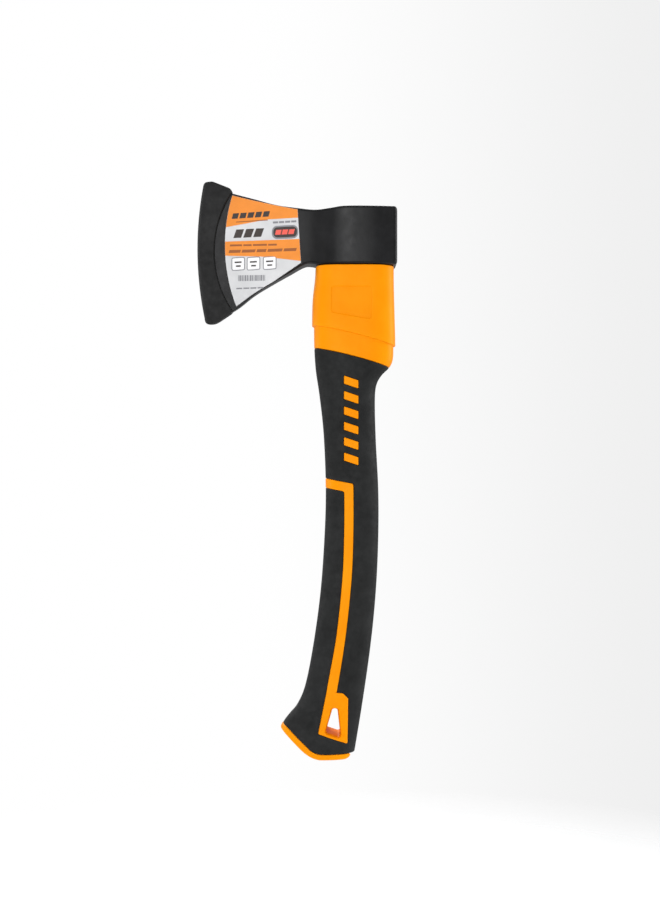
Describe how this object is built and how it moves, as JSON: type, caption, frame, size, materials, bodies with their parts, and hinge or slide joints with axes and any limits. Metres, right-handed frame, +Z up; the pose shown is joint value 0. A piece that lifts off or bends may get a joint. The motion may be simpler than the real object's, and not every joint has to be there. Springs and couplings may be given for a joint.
{
  "type": "hand axe",
  "caption": "Short hand axe: forged head with a slip-on edge guard, resin-set on a curved two-colour moulded handle with a raised neck band, soft grip, inlay stripe and lanyard eyelet.",
  "frame": {"origin": "on the crown, the flat top of the head, on the axis of the eye", "axes": "+Z up along the handle towards the crown, +X from the cutting edge towards the poll, +Y through the head's thickness, away from the labelled cheek"},
  "size_m": [0.1313, 0.031, 0.3786],
  "materials": {
    "forged_head": "black lacquer, satin",
    "guard_rubber": "matte black",
    "label_film": "printed adhesive film, orange over silver-grey",
    "fibreglass": "pultruded glass-fibre rod, raw",
    "orange_plastic": "satin orange polypropylene",
    "grip_rubber": "fine matte grain",
    "cast_resin": "cast epoxy",
    "seal_rubber": "matte"
  },
  "bodies": {
    "axe": {"axe_head": "forged_head", "face_label": "label_film", "fibreglass_core": "fibreglass", "handle_jacket": "orange_plastic", "grip_sleeve": "grip_rubber", "eye_resin": "cast_resin", "eye_seal_ring": "seal_rubber"},
    "guard": {"edge_guard": "guard_rubber"}
  },
  "joints": [
    {"name": "guard_slide", "type": "slide", "parent": "axe", "child": "guard", "axis": [-1, 0, 0], "range_m": [0, 0.05]}
  ]
}
